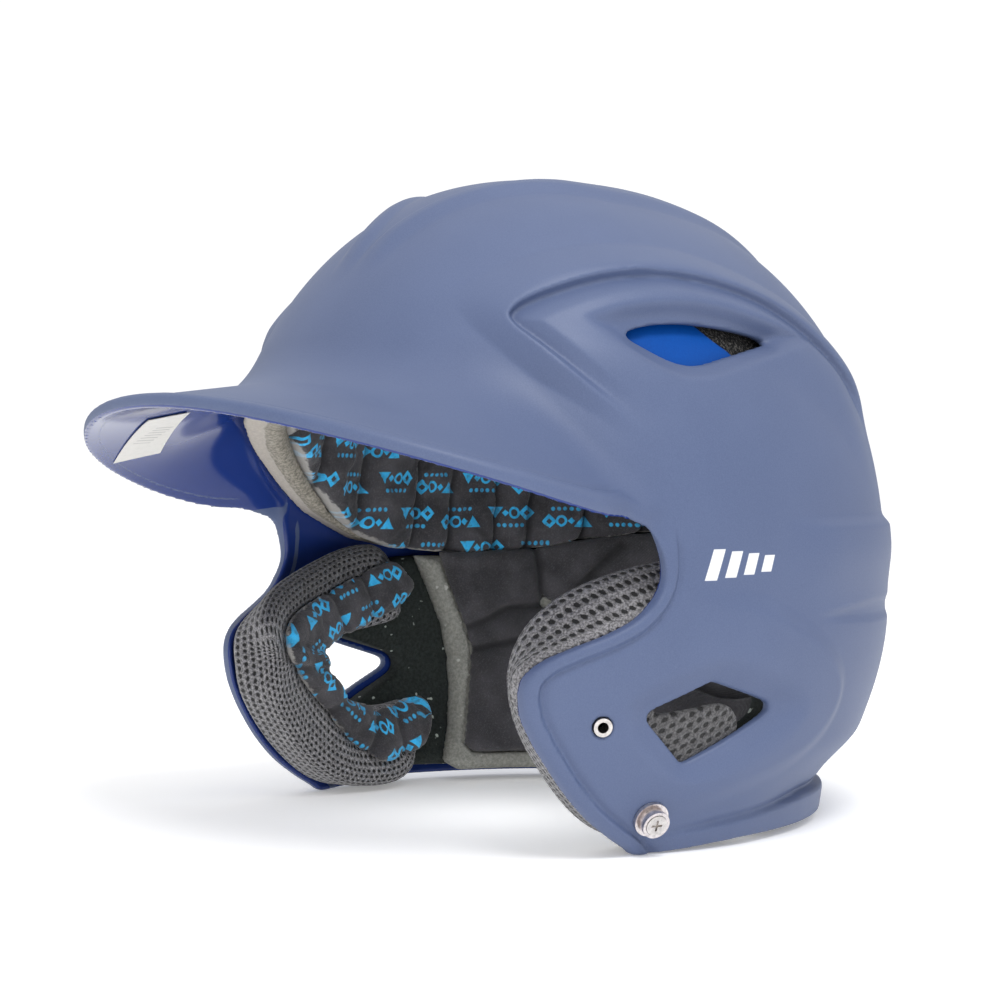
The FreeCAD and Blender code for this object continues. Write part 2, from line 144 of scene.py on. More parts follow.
HEADBAND = [(-130.0, 149.0), (-60.0, 135.0), (-43.0, 126.5), (-26.0, 112.8), (-8.0, 97.8), (4.0, 90.8),
            (16.0, 86.6), (45.0, 83.8), (70.0, 85.0), (97.0, 90.5), (150.0, 97.5), (150.0, 138.0),
            (40.0, 132.0), (-25.0, 142.0), (-65.0, 164.0), (-130.0, 168.0)]
BAND_CHANNELS = [-62.0, -42.0, -22.0, 0.0, 24.5, 39.4, 57.0, 69.2, 87.0, 103.0]
REAR_PAD = [(28.0, 83.4), (34.0, 71.2), (39.0, 58.0), (40.3, 45.0), (38.7, 32.4), (34.6, 19.6), (28.8, 8.0),
            (33.0, 4.8), (150.0, 4.8), (150.0, 94.5), (97.0, 89.3), (70.0, 84.2), (45.0, 82.8)]
REAR_FABRIC = [(34.6, 85.4), (39.2, 73.3), (44.0, 60.4), (46.5, 49.7), (44.7, 39.2), (40.4, 26.3),
               (35.4, 14.5), (37.5, 11.0), (150.0, 10.0), (150.0, 96.3), (97.0, 91.2), (70.0, 86.1),
               (45.0, 84.8)]
REAR_CREASES = [[(71.0, 90.0), (72.3, 76.0), (72.8, 70.0), (76.0, 64.0)],
                [(44.0, 55.3), (53.0, 59.0), (61.0, 63.0), (69.0, 63.4), (76.0, 64.5)],
                [(44.5, 46.7), (50.0, 48.4), (58.0, 50.0), (70.0, 52.0), (84.0, 50.0)],
                [(82.0, 66.0), (86.0, 72.9), (90.4, 79.1), (96.0, 87.0)],
                [(90.0, 60.0), (100.0, 45.0), (104.0, 25.0)]]


def smoothstep(low, high, value):
    t = np.clip((value - low) / (high - low), 0.0, 1.0)
    return t * t * (3.0 - 2.0 * t)


def smooth_min(a, b, radius):
    overlap = np.maximum(radius - np.abs(a - b), 0.0)
    return np.minimum(a, b) - overlap * overlap / (4.0 * radius)


def smooth_max(a, b, radius):
    return -smooth_min(-a, -b, radius)


def spline(points, samples=8):
    """Points of a smooth open curve through the given ones."""
    p = np.array(points, float)
    p = np.vstack([2 * p[:1] - p[1:2], p, 2 * p[-1:] - p[-2:-1]])
    t = np.linspace(0.0, 1.0, samples, endpoint=False)[:, None]
    pieces = []
    for a, b, c, d in zip(p[:-3], p[1:-2], p[2:-1], p[3:]):
        pieces.append(0.5 * (2 * b + (c - a) * t + (2 * a - 5 * b + 4 * c - d) * t ** 2
                             + (3 * b - a - 3 * c + d) * t ** 3))
    return np.vstack(pieces + [p[-2:-1]])


def soft_loop(points, rounds=3, cut=0.25):
    """Closed outline smoothed by cutting its corners again and again."""
    p = np.array(points, float)
    for _ in range(rounds):
        after = np.roll(p, -1, axis=0)
        p = np.stack([(1 - cut) * p + cut * after, cut * p + (1 - cut) * after], axis=1).reshape(-1, 2)
    return p


def path_distance(curve, y, z):
    """Distance to an open curve, positive on its right-hand side, and how far along it."""
    best = np.full(y.shape, 1e9)
    side = np.ones(y.shape)
    along = np.zeros(y.shape)
    lengths = np.hypot(*np.diff(curve, axis=0).T)
    starts = np.concatenate([[0.0], np.cumsum(lengths)])
    for k, (a, b) in enumerate(zip(curve[:-1], curve[1:])):
        edge = b - a
        t = ((y - a[0]) * edge[0] + (z - a[1]) * edge[1]) / max(edge @ edge, 1e-9)
        t = np.clip(t, 0.0, 1.0)
        dy = y - a[0] - t * edge[0]
        dz = z - a[1] - t * edge[1]
        gap = np.hypot(dy, dz)
        near = gap < best
        best = np.where(near, gap, best)
        side = np.where(near, np.sign(edge[1] * dy - edge[0] * dz + 1e-12), side)
        along = np.where(near, (starts[k] + t * lengths[k]) / starts[-1], along)
    return best * side, along


def loop_distance(curve, y, z):
    """Signed distance to a closed curve, negative inside."""
    closed = np.vstack([curve, curve[:1]])
    gap, _ = path_distance(closed, y, z)
    inside = np.zeros(y.shape, bool)
    for a, b in zip(closed[:-1], closed[1:]):
        crosses = (a[1] > z) != (b[1] > z)
        slope = (b[0] - a[0]) / (b[1] - a[1] if b[1] != a[1] else 1e-9)
        inside ^= crosses & (y < a[0] + slope * (z - a[1]))
    return np.where(inside, -np.abs(gap), np.abs(gap))


def rounded_polygon(corners, radius):
    """Convex polygon with rounded corners, as a list of points."""
    p = np.array(corners, float)
    points = []
    for before, here, after in zip(np.roll(p, 1, 0), p, np.roll(p, -1, 0)):
        a = (before - here) / np.linalg.norm(before - here)
        b = (after - here) / np.linalg.norm(after - here)
        half = math.acos(np.clip(a @ b, -1, 1)) / 2
        reach = radius / math.tan(half)
        start, end = here + a * reach, here + b * reach
        for t in np.linspace(0.0, 1.0, 7):
            points.append((1 - t) ** 2 * start + 2 * t * (1 - t) * here + t ** 2 * end)
    return np.array(points)


# ---------------------------------------------------------------------------------------
# Form of the shell
# ---------------------------------------------------------------------------------------
def section_size(level):
    """Centre, half width, front reach and rear reach of the horizontal section at a height."""
    rise = np.clip((level - WIDEST_LEVEL) / (CROWN_HEIGHT - WIDEST_LEVEL), 0.0, 0.999999)
    dip = np.maximum(0.0, (WIDEST_LEVEL - level) / WIDEST_LEVEL)
    centre = SECTION_CENTRE - CROWN_LEAN * rise ** 2
    half = HALF_WIDTH * (1 - rise ** SIDE_POWER) ** (1 / SIDE_POWER) - SIDE_TUCK * dip ** 2
    front = FRONT_REACH * (1 - rise ** FRONT_POWER) ** (1 / FRONT_POWER)
    rear = REAR_REACH * (1 - rise ** REAR_POWER) ** (1 / REAR_POWER) - REAR_TUCK * dip ** 2
    return centre, half, front, rear


def inside_dome(x, y, z):
    centre, half, front, rear = section_size(z)
    forward = y < centre
    power = np.where(forward, 2.0, REAR_SECTION_POWER)
    reach = np.where(forward, front, rear)
    ring = (np.abs(x) / half) ** power + (np.abs(y - centre) / reach) ** power
    return (ring < 1.0) & (z < CROWN_HEIGHT)


class Dome:
    """Distance to the outer face of the dome, read from a map of its radius by direction."""

    def __init__(self, rows=361, columns=361):
        self.rows, self.columns = rows, columns
        self.polar_end = math.radians(150.0)
        polar = np.linspace(0.0, self.polar_end, rows)[:, None]
        azimuth = np.linspace(0.0, math.pi, columns)[None, :]
        dx = np.sin(polar) * np.sin(azimuth)
        dy = -np.sin(polar) * np.cos(azimuth)
        dz = np.cos(polar)
        low = np.full((rows, columns), 5.0)
        high = np.full((rows, columns), 260.0)
        for _ in range(34):
            middle = 0.5 * (low + high)
            within = inside_dome(dx * middle, SECTION_CENTRE + dy * middle, WIDEST_LEVEL + dz * middle)
            low = np.where(within, middle, low)
            high = np.where(within, high, middle)
        radius = 0.5 * (low + high)
        down, around = np.gradient(radius, self.polar_end / (rows - 1), math.pi / (columns - 1))
        around = around / np.maximum(np.sin(polar), 0.02)
        self.radius = radius
        self.scale = 1.0 / np.sqrt(1.0 + (down / radius) ** 2 + (around / radius) ** 2)

    def look_up(self, x, y, z):
        px, py, pz = np.abs(x), y - SECTION_CENTRE, z - WIDEST_LEVEL
        length = np.sqrt(px * px + py * py + pz * pz) + 1e-6
        polar = np.arccos(np.clip(pz / length, -1.0, 1.0)) / self.polar_end * (self.rows - 1)
        azimuth = np.arctan2(px, -py) / math.pi * (self.columns - 1)
        i = np.clip(polar.astype(np.int32), 0, self.rows - 2)
        j = np.clip(azimuth.astype(np.int32), 0, self.columns - 2)
        u = np.clip(polar - i, 0.0, 1.0)
        v = np.clip(azimuth - j, 0.0, 1.0)
        out = []
        for table in (self.radius, self.scale):
            out.append((1 - u) * ((1 - v) * table[i, j] + v * table[i, j + 1])
                       + u * ((1 - v) * table[i + 1, j] + v * table[i + 1, j + 1]))
        return length, out[0], out[1]

    def distance(self, x, y, z):
        length, radius, scale = self.look_up(x, y, z)
        return (length - radius) * scale


def bill_top(x, y):
    """Height of the bill's upper face, and how much steeper than level it is."""
    back = np.maximum(0.0, (y - BILL_TIP) / BILL_ARCH_REACH)
    arch = BILL_ARCH + BILL_EXTRA_ARCH * back ** 2.5
    height = BILL_UNDER_TIP + BILL_THICKNESS + BILL_SLOPE * (y - BILL_TIP) - arch * x * x
    slope_x = -2.0 * arch * x
    slope_y = BILL_SLOPE - BILL_EXTRA_ARCH * 2.5 * back ** 1.5 / BILL_ARCH_REACH * x * x
    return height, np.sqrt(1.0 + slope_x ** 2 + slope_y ** 2)


def bill_plan(x, y):
    """Distance outside the bill's rounded outline seen from above."""
    reach = BILL_ROOT - BILL_TIP
    u, v = x / BILL_HALF_WIDTH, (y - BILL_ROOT) / reach
    ring = np.sqrt(u * u + v * v) + 1e-6
    slope = np.sqrt((u / BILL_HALF_WIDTH) ** 2 + (v / reach) ** 2) / ring
    return (ring - 1.0) / slope


def funnel(recess, hole, depth):
    """Recess that deepens from its outline to the edge of the hole inside it."""
    inward = np.maximum(-recess, 0.0)
    share = inward / (inward + np.maximum(hole, 0.0) + 0.5)
    return -depth * smoothstep(0.0, 1.0, share)


def nape_sweep(y, z):
    """How far the shell draws in above the flange round the nape."""
    return 5.0 * smoothstep(14.0, 62.0, y) * smoothstep(31.0, 14.5, z)


def nape_lift(y):
    """How far the lower edge of the shell stands off the ground towards the nape."""
    return 2.2 * smoothstep(-20.0, 25.0, y)


def side_relief(y, z):
    """Sculpted height of the outer face, drawn on the side view."""
    vent_hole = loop_distance(soft_loop(VENT_HOLE), y, z)
    vent_recess = loop_distance(soft_loop(VENT_RECESS), y, z)
    outer, outer_along = path_distance(spline(CREST_OUTER), y, z)
    inner, _ = path_distance(spline(CREST_INNER), y, z)
    ends = smoothstep(0.0, 0.16, outer_along) * (1.0 - smoothstep(0.86, 1.0, outer_along))
    upper_band = np.clip(outer / 6.5, 0.0, 1.0) * (1.0 - smoothstep(-0.8, 2.8, inner))
    relief = 3.6 * ends * upper_band
    fade = smoothstep(130.0, 154.0, z + 0.5 * np.maximum(y, 0.0)) * (1.0 - smoothstep(66.0, 92.0, y))
    lower_band = np.clip((inner - 2.6) / 4.0, 0.0, 1.0) * (1.0 - smoothstep(-1.0, 6.0, -vent_recess))
    relief += 2.4 * fade * lower_band * (1.0 - smoothstep(8.0, 28.0, inner))
    relief += funnel(vent_recess, vent_hole, 3.6)

    ear_hole = loop_distance(rounded_polygon(EAR_HOLE, EAR_HOLE_ROUNDING), y, z)
    ear_recess = loop_distance(soft_loop(EAR_RECESS), y, z)
    relief += funnel(ear_recess, ear_hole, 3.2)
    dome, dome_along = path_distance(spline(EAR_DOME), y, z)
    dome_ends = smoothstep(0.2, 0.42, dome_along) * (1.0 - smoothstep(0.86, 1.0, dome_along))
    relief += 2.2 * dome_ends * smoothstep(-1.5, 6.0, dome) * (1.0 - smoothstep(14.0, 40.0, dome))

    behind = smoothstep(22.0, 52.0, y)
    ridge = 1.8 * smoothstep(74.0, 92.0, z) + 0.6 * smoothstep(35.0, 66.0, z)
    relief += behind * smoothstep(101.0, 96.5, z) * ridge
    wedge_half = 0.2 + 2.8 * smoothstep(36.0, 82.0, y)
    wedge_level = 69.6 + 0.6 * smoothstep(36.0, 82.0, y)
    wedge = smoothstep(wedge_half + 1.4, wedge_half * 0.35, np.abs(z - wedge_level))
    relief -= 0.9 * smoothstep(36.0, 58.0, y) * wedge
    crease, _ = path_distance(spline(NAPE_CREASE), y, z)
    nape = smoothstep(-24.0, 8.0, y)
    flare = 0.1 + 0.33 * smoothstep(0.0, 60.0, y)
    step_out = 1.1 + 1.5 * smoothstep(25.0, 60.0, y)
    flange = nape * (step_out * smoothstep(0.0, 1.4, crease) + flare * np.maximum(crease, 0.0))
    relief -= nape * 0.7 * np.exp(-((crease + 0.8) / 1.2) ** 2) + nape_sweep(y, z)
    return relief, flange, vent_hole, ear_hole


def crown_relief(x, y):
    """Raised panel along the crown, drawn on the view from above."""
    half = 11.0 + 34.0 * smoothstep(-62.0, 12.0, y) - 16.0 * smoothstep(30.0, 125.0, y)
    inner_half = half - 9.0 - 7.0 * smoothstep(-40.0, 60.0, y)
    front = smoothstep(-66.0, -50.0, y)
    edge = smoothstep(3.5, -3.5, np.abs(x) - half)
    valley = smoothstep(3.0, -3.0, np.abs(x) - inner_half)
    return front * (2.3 * edge - 1.8 * valley)


DOME = Dome()


def from_axis(centre, axis, x, y, z):
    """How far along a bore's axis each point is, and how far from the axis."""
    dx, dy, dz = x - centre[0], y - centre[1], z - centre[2]
    along = dx * axis[0] + dy * axis[1] + dz * axis[2]
    return along, np.sqrt(np.maximum(dx * dx + dy * dy + dz * dz - along * along, 0.0))


def shell_field(x, y, z):
    """Signed distance to the shell on a grid, and the depth below its outer face."""
    y2, z2 = y[0], z[0]
    relief, flange, vent_hole, ear_hole = side_relief(y2, z2)
    flap, _ = path_distance(spline(FLAP_FRONT), y2, z2)
    inward = -flap
    bead_side = 1.1 * smoothstep(4.1, 3.1, inward) - 0.8 * np.exp(-((inward - 4.6) / 0.9) ** 2)
    bead_side *= smoothstep(100.0, 90.0, z2)

    dome = DOME.distance(x, y, z)
    top, steep = bill_top(x, y)
    above_bill = (z - top) / steep
    plan = bill_plan(x, y)
    width = np.abs(x)
    blend = 12.0 - 6.0 * smoothstep(-60.0, -32.0, y)
    blend += 20.0 * smoothstep(35.0, 95.0, width) * smoothstep(-38.0, -80.0, y)
    sheet = smooth_max(np.abs(above_bill + 7.0) - 7.0, plan - 3.0, 1.0)
    form = smooth_min(dome, sheet, blend)
    under_skin = smooth_min(dome, above_bill, blend) + WALL + 0.2

    high = smoothstep(170.0, 186.0, z)
    sides = smoothstep(26.0, 44.0, width)
    rear = smoothstep(60.0, 90.0, y) * (1.0 - high) * (1.0 - sides)
    carved = relief * (sides + rear) + crown_relief(x, y) * high
    bead_plan = 0.8 * smoothstep(-4.4, -3.2, plan) - 0.5 * np.exp(-((plan + 4.8) / 1.0) ** 2)
    bead_plan *= smoothstep(2.0, 8.0, dome)
    flared = flange * (sides + rear)
    outer = form - carved - flared - bead_side - bead_plan

    trimmed = smooth_max(outer, smooth_min(plan, dome - 3.5 - flared, 7.0), 1.6)
    cavity = -(dome - np.minimum(carved, 0.0) - 0.8 * flared + WALL)
    solid = smooth_max(trimmed, cavity, 1.0)
    raised = dome - np.maximum(carved, 0.0) - flared - bead_side
    ahead = smooth_min(inward, 0.8 - raised, 2.0)
    opening = smooth_max(under_skin, ahead, 9.0)
    solid = smooth_max(solid, -opening, 1.5)
    holes = np.where(width > 40.0, smooth_min(vent_hole, ear_hole, 0.1), 20.0)
    for centre, axis, radius in HARDWARE_HOLES:
        along, away = from_axis(centre, axis, width, y, z)
        holes = np.minimum(holes, np.where(np.abs(along) < 15.0, away - radius, 20.0))
    solid = smooth_max(solid, -holes, 1.0)
    solid = smooth_max(solid, nape_lift(y) - z, 1.2)
    return solid, outer


def surface_nets(field, origin, step):
    """Quad mesh of the zero surface of a sampled field."""
    inside = field < 0.0
    count = np.zeros(tuple(n - 1 for n in field.shape), np.int8)
    corners = [(i, j, k) for i in (0, 1) for j in (0, 1) for k in (0, 1)]
    nx, ny, nz = count.shape
    for i, j, k in corners:
        count += inside[i:i + nx, j:j + ny, k:k + nz]
    cells = np.argwhere((count > 0) & (count < 8))
    index = np.full(count.shape, -1, np.int32)
    index[tuple(cells.T)] = np.arange(len(cells))
    values = np.stack([field[tuple((cells + c).T)] for c in corners], axis=1)
    total = np.zeros((len(cells), 3))
    crossings = np.zeros(len(cells))
    for a in range(8):
        for b in range(a + 1, 8):
            ca, cb = np.array(corners[a]), np.array(corners[b])
            if np.abs(ca - cb).sum() != 1:
                continue
            va, vb = values[:, a], values[:, b]
            crossed = (va < 0) != (vb < 0)
            t = np.where(crossed, va / np.where(crossed, va - vb, 1.0), 0.0)
            total += np.where(crossed[:, None], ca + t[:, None] * (cb - ca), 0.0)
            crossings += crossed
    vertices = (cells + total / crossings[:, None]) * step + origin
    faces = []
    for axis in range(3):
        ahead = np.roll(inside, -1, axis)
        changed = inside != ahead
        limits = [slice(1, n) for n in count.shape]
        limits[axis] = slice(0, count.shape[axis])
        keep = np.zeros_like(changed)
        keep[tuple(limits)] = changed[tuple(limits)]
        edges = np.argwhere(keep)
        u, v = (axis + 1) % 3, (axis + 2) % 3
        ring = []
        for du, dv in ((0, 0), (1, 0), (1, 1), (0, 1)):
            cell = edges.copy()
            cell[:, u] -= du
            cell[:, v] -= dv
            ring.append(index[tuple(cell.T)])
        quad = np.stack(ring, axis=1)
        leaving = inside[tuple(edges.T)]
        quad[~leaving] = quad[~leaving][:, ::-1]
        faces.append(quad)
    return vertices, np.vstack(faces)


# ---------------------------------------------------------------------------------------
# Objects
# ---------------------------------------------------------------------------------------
def sample(field, points, origin, step):
    """Value of a grid at points between its samples."""
    p = (points - origin) / step
    base = np.clip(p.astype(np.int32), 0, np.array(field.shape) - 2)
    t = p - base
    total = np.zeros(len(points))
    for corner in np.ndindex(2, 2, 2):
        weight = np.prod(np.where(corner, t, 1.0 - t), axis=1)
        total += weight * field[tuple((base + corner).T)]
    return total


def gradient(field, points, origin, step):
    reach = 0.6 * step
    parts = []
    for axis in range(3):
        shift = np.zeros(3)
        shift[axis] = reach
        ahead = sample(field, points + shift, origin, step)
        parts.append(ahead - sample(field, points - shift, origin, step))
    return np.stack(parts, axis=1) / (2.0 * reach)


def make_mesh(name, vertices, faces, material, normals=None):
    """Mesh object from points in millimetres."""
    mesh = bpy.data.meshes.new(name)
    mesh.vertices.add(len(vertices))
    mesh.vertices.foreach_set("co", (np.asarray(vertices) * MM).ravel())
    faces = np.asarray(faces)
    mesh.loops.add(faces.size)
    mesh.loops.foreach_set("vertex_index", faces.ravel())
    mesh.polygons.add(len(faces))
    mesh.polygons.foreach_set("loop_start", np.arange(0, faces.size, faces.shape[1]))
    mesh.update(calc_edges=True)
    mesh.validate()
    mesh.polygons.foreach_set("use_smooth", np.ones(len(mesh.polygons), bool))
    if normals is not None:
        mesh.normals_split_custom_set_from_vertices(normals)
    mesh.materials.append(material)
    thing = bpy.data.objects.new(name, mesh)
    bpy.context.scene.collection.objects.link(thing)
    return thing


def add_attribute(thing, name, values):
    layer = thing.data.attributes.new(name, "FLOAT", "POINT")
    layer.data.foreach_set("value", np.asarray(values, np.float32))


def surface_at(y, z):
    """Point of the dome's outer face on the wearer's left, at a place on the side view."""
    low, high = 0.0, 130.0
    for _ in range(40):
        middle = 0.5 * (low + high)
        if inside_dome(np.array(middle), np.array(y), np.array(z)):
            low = middle
        else:
            high = middle
    return np.array([0.5 * (low + high), y, z])


def normal_at(point):
    steps = np.eye(3) * 0.5
    ahead = DOME.distance(*(point + steps).T)
    back = DOME.distance(*(point - steps).T)
    slope = ahead - back
    return slope / np.linalg.norm(slope)


SNAP_PLACE = surface_at(-18.0, 11.9)
INSERT_PLACE = surface_at(-38.4, 40.3)
HARDWARE_HOLES = [(SNAP_PLACE, normal_at(SNAP_PLACE), 3.2), (INSERT_PLACE, normal_at(INSERT_PLACE), 3.0)]


def mirror_half(field):
    """Whole grid from the half on the wearer's left."""
    return np.concatenate([field[:0:-1], field], axis=0)


def build_shell():
    """Outer shell, netted on a grid and pulled onto its field, with the depth for its two finishes."""
    step = GRID_STEP
    origin = np.array(SHELL_BOX[0])
    axes = [np.arange(a, b, step) for a, b in zip(*SHELL_BOX)]
    solid, outer = [mirror_half(field) for field in shell_field(*np.meshgrid(*axes, indexing="ij"))]
    origin[0] = -axes[0][-1]
    vertices, faces = surface_nets(solid, origin, step)
    for _ in range(2):
        slope = gradient(solid, vertices, origin, step)
        steepness = np.maximum((slope ** 2).sum(axis=1, keepdims=True), 0.2)
        vertices = vertices - np.clip(sample(solid, vertices, origin, step)[:, None] * slope / steepness,
                                      -0.5 * step, 0.5 * step)
    slope = gradient(solid, vertices, origin, step)
    normals = slope / np.maximum(np.linalg.norm(slope, axis=1, keepdims=True), 1e-6)
    shell = make_mesh("shell", vertices, faces, MATERIALS["shell_plastic"], normals)
    add_attribute(shell, "depth", sample(outer, vertices, origin, step))
    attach(shell, "helmet")
    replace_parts(shell, "outer_shell")


def build_pad(name, box, shape, finish, sides=("left", "right")):
    """Closed soft pieces from a field on the wearer's left: one for each side, or one across the middle."""
    step = PAD_GRID_STEP
    low = np.array(box[0], float)
    axes = [np.arange(a, b + step, step) for a, b in zip(*box)]
    grid = np.meshgrid(*axes, indexing="ij")
    field, extras = shape(*grid)
    extras = {key: np.broadcast_to(value, field.shape) for key, value in extras.items()}
    if not sides:
        field = mirror_half(field)
        extras = {key: mirror_half(value) for key, value in extras.items()}
        low[0] = -axes[0][-1]
    vertices, faces = surface_nets(field, low, step)
    slope = gradient(field, vertices, low, step)
    fall = sample(field, vertices, low, step)[:, None] * slope
    vertices = vertices - np.clip(fall, -0.4 * step, 0.4 * step)
    values = {key: sample(value, vertices, low, step) for key, value in extras.items()}
    pieces = []
    for ending in ["_" + side for side in sides] or [""]:
        mirrored = ending == "_right"
        turned = vertices * ((-1.0, 1.0, 1.0) if mirrored else (1.0, 1.0, 1.0))
        order = faces[:, ::-1] if mirrored else faces
        piece = make_mesh(name + ending, turned, order, MATERIALS[finish])
        for key, value in values.items():
            add_attribute(piece, key, value)
        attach(piece, "helmet")
        if "pad_hold" in values:
            swell(piece, values["pad_hold"])
        pieces.append(piece)
    return pieces


def swell(piece, hold):
    """Lets the cloth of a stuffed piece puff up between its seams, by simulation.

    Points whose hold is above a half stay where they are.
    """
    mesh = piece.data
    start = np.empty(3 * len(mesh.vertices))
    mesh.vertices.foreach_get("co", start)
    seams = piece.vertex_groups.new(name="seams")
    seams.add([int(k) for k in np.flatnonzero(hold > 0.5)], 1.0, "REPLACE")
    cloth = piece.modifiers.new("swell", "CLOTH")
    cloth.settings.vertex_group_mass = "seams"
    cloth.settings.use_pressure = True
    cloth.settings.uniform_pressure_force = SWELL_PRESSURE
    cloth.settings.effector_weights.gravity = 0.0
    cloth.settings.shrink_min = -SWELL_SLACK
    cloth.collision_settings.use_collision = False
    cloth.point_cache.frame_end = SWELL_FRAMES
    for moment in range(1, SWELL_FRAMES + 1):
        bpy.context.scene.frame_set(moment)
    puffed = piece.evaluated_get(bpy.context.evaluated_depsgraph_get()).to_mesh()
    end = np.empty(3 * len(mesh.vertices))
    puffed.vertices.foreach_get("co", end)
    piece.modifiers.remove(cloth)
    piece.vertex_groups.remove(seams)
    bpy.context.scene.frame_set(1)
    move = (end - start).reshape(-1, 3)
    length = np.linalg.norm(move, axis=1, keepdims=True)
    move *= np.minimum(1.0, SWELL_LIMIT * MM / np.maximum(length, 1e-9))
    mesh.vertices.foreach_set("co", start + move.ravel())
    mesh.update()


def side_frame(x, y, z):
    """Depth below the outer face on the whole grid, and the side-view coordinates of its columns."""
    return -DOME.distance(x, y, z), y[0], z[0]


def pad_crown(y):
    """Depth of the ear pad's inner face, where the fabric strip lies on the mesh."""
    return 22.8 - 0.0003 * (y - 5.0) ** 2


def ruffle(y, z, size):
    """Small uneven swelling of stuffed cloth."""
    waves = np.sin(0.31 * y + 0.17 * z) + np.sin(0.13 * y - 0.37 * z + 1.3)
    return size * (waves + 0.6 * np.sin(0.71 * y + 0.52 * z + 2.1) + 0.5 * np.sin(0.83 * z - 0.45 * y))


def ear_mesh_shape(side):
    """Padded mesh of one side: a thick roll round the ear, open to the rear."""
    def shape(x, y, z):
        depth, y2, z2 = side_frame(x, y, z)
        slack = (0.0 if side == "left" else 2.6) * smoothstep(52.0, 36.0, z2)
        _, along = path_distance(soft_loop(EAR_MESH, 2), y2, z2)
        root = loop_distance(soft_loop(EAR_MESH, 2), y2 + slack, z2)
        roll = loop_distance(soft_loop(ROLL_TOP[side] + EAR_ROLL, 2), y2 + slack, z2) - 1.6
        front = loop_distance(soft_loop(EAR_OPENING, 2), y2, z2)
        back = loop_distance(soft_loop(BACK_OPENING[side], 2), y2, z2)
        ear_hole = loop_distance(rounded_polygon(EAR_HOLE, EAR_HOLE_ROUNDING), y2, z2)
        foam = loop_distance(np.array(SIDE_FOAM), y2, z2)
        across = root + (roll - root) * smoothstep(4.0, 17.0, depth)
        opening = back + (front - back) * smoothstep(6.0, 20.0, depth)
        pad = smooth_max(across, depth - pad_crown(y), 9.0)
        pad = smooth_max(pad, 0.4 - opening, 4.0)
        pad = smooth_max(pad, 4.2 - depth, 2.0)
        hollow = smooth_max(foam - 0.5, depth - 13.6, 1.0)
        hollow = smooth_max(hollow, 2.6 - ear_hole, 1.0)
        pad = smooth_max(pad, -hollow, 1.5)
        behind_hole = (depth < 11.0) & (across < -5.0)
        pad_u = np.where(behind_hole, 0.9 * y + 0.42 * z, along * 360.0)
        pad_v = np.where(behind_hole, 0.9 * z - 0.42 * y, depth - across)
        # painted shade: 1 behind the ear hole on the left, rising along the top of the pad on the right
        shade = np.where(behind_hole, 1.0, 0.0) if side == "left" else 0.8 * smoothstep(60.0, 72.0, z)
        return pad, {"pad_u": pad_u, "pad_v": pad_v, "pad_painted_shade": shade}
    return shape


def ring_shape(x, y, z):
    depth, y2, z2 = side_frame(x, y, z)
    outline = loop_distance(soft_loop(RING_OUTLINE, 1, 0.18), y2 + 2.0, z2)
    gap, along = path_distance(spline(RING_PATH, 10), y2 + 2.0, z2)
    lift = 28.6 + ruffle(y2, z2, 0.3)
    pinch = np.zeros_like(y2)
    for fold in RING_FOLDS:
        away, _ = path_distance(np.array(fold), y2 + 2.0, z2)
        lift = lift - 2.4 * np.exp(-(away / 1.5) ** 2) + 0.9 * smoothstep(7.0, 2.0, np.abs(away - 3.0))
        pinch = pinch + 0.8 * np.exp(-(away / 2.0) ** 2)
    across = outline + pinch
    ring = smooth_max(across + 0.15 * (depth - 23.0), depth - lift, 6.0)
    ring = smooth_max(ring, pad_crown(y) + 0.3 - depth, 2.0)
    hold = np.maximum(pinch, smoothstep(2.0, 1.0, depth - pad_crown(y)))
    # the fold attribute carries painted shade into the pinched folds
    return ring, {"pad_u": along * 150.0, "pad_v": gap,
                  "pad_edge": -across, "pad_fold_shade": 0.7 * pinch, "pad_hold": hold}


def headband_shape(x, y, z):
    depth, y2, z2 = side_frame(x, y, z)
    outline = loop_distance(np.array(HEADBAND), y2, z2)
    groove = sum(np.exp(-((y2 - c) / 1.6) ** 2) for c in BAND_CHANNELS)
    hollow = sum(np.exp(-((y2 - c) / 5.5) ** 2) for c in BAND_CHANNELS)
    inner = 24.8 - 3.4 * groove - 2.6 * hollow + ruffle(y2, z2, 0.2)
    pad = smooth_max(outline, depth - inner, 6.0)
    pad = smooth_max(pad, 13.4 - depth, 2.0)
    turn = np.arctan2(x, -(y - SECTION_CENTRE)) * 96.0
    hold = np.maximum(groove, smoothstep(20.5, 19.0, depth))
    # the fold attribute carries painted shade into the channels
    return pad, {"pad_u": turn, "pad_v": z, "pad_edge": -outline, "pad_fold_shade": groove ** 2,
                 "pad_hold": hold}


def front_foam_shape(x, y, z):
    depth, y2, z2 = side_frame(x, y, z)
    outline = loop_distance(np.array(FRONT_FOAM), y2, z2)
    band = loop_distance(np.array(HEADBAND), y2, z2)
    foam = smooth_max(outline, depth - 17.6, 5.0)
    foam = smooth_max(foam, 3.7 - depth, 1.0)
    pocket = smooth_max(band - 0.4, 13.1 - depth, 0.5)
    foam = smooth_max(foam, -pocket, 0.8)
    return foam, {"pad_v": depth}


def rear_backing_shape(x, y, z):
    depth, y2, z2 = side_frame(x, y, z)
    outline = loop_distance(np.array(REAR_PAD), y2, z2)
    fabric = loop_distance(np.array(REAR_FABRIC), y2, z2)
    backing = smooth_max(outline, depth - 21.0, 6.0)
    backing = smooth_max(backing, 13.3 - depth, 1.5)
    pocket = smooth_max(fabric, 18.6 - depth, 0.5)
    return smooth_max(backing, -pocket, 0.8), {}


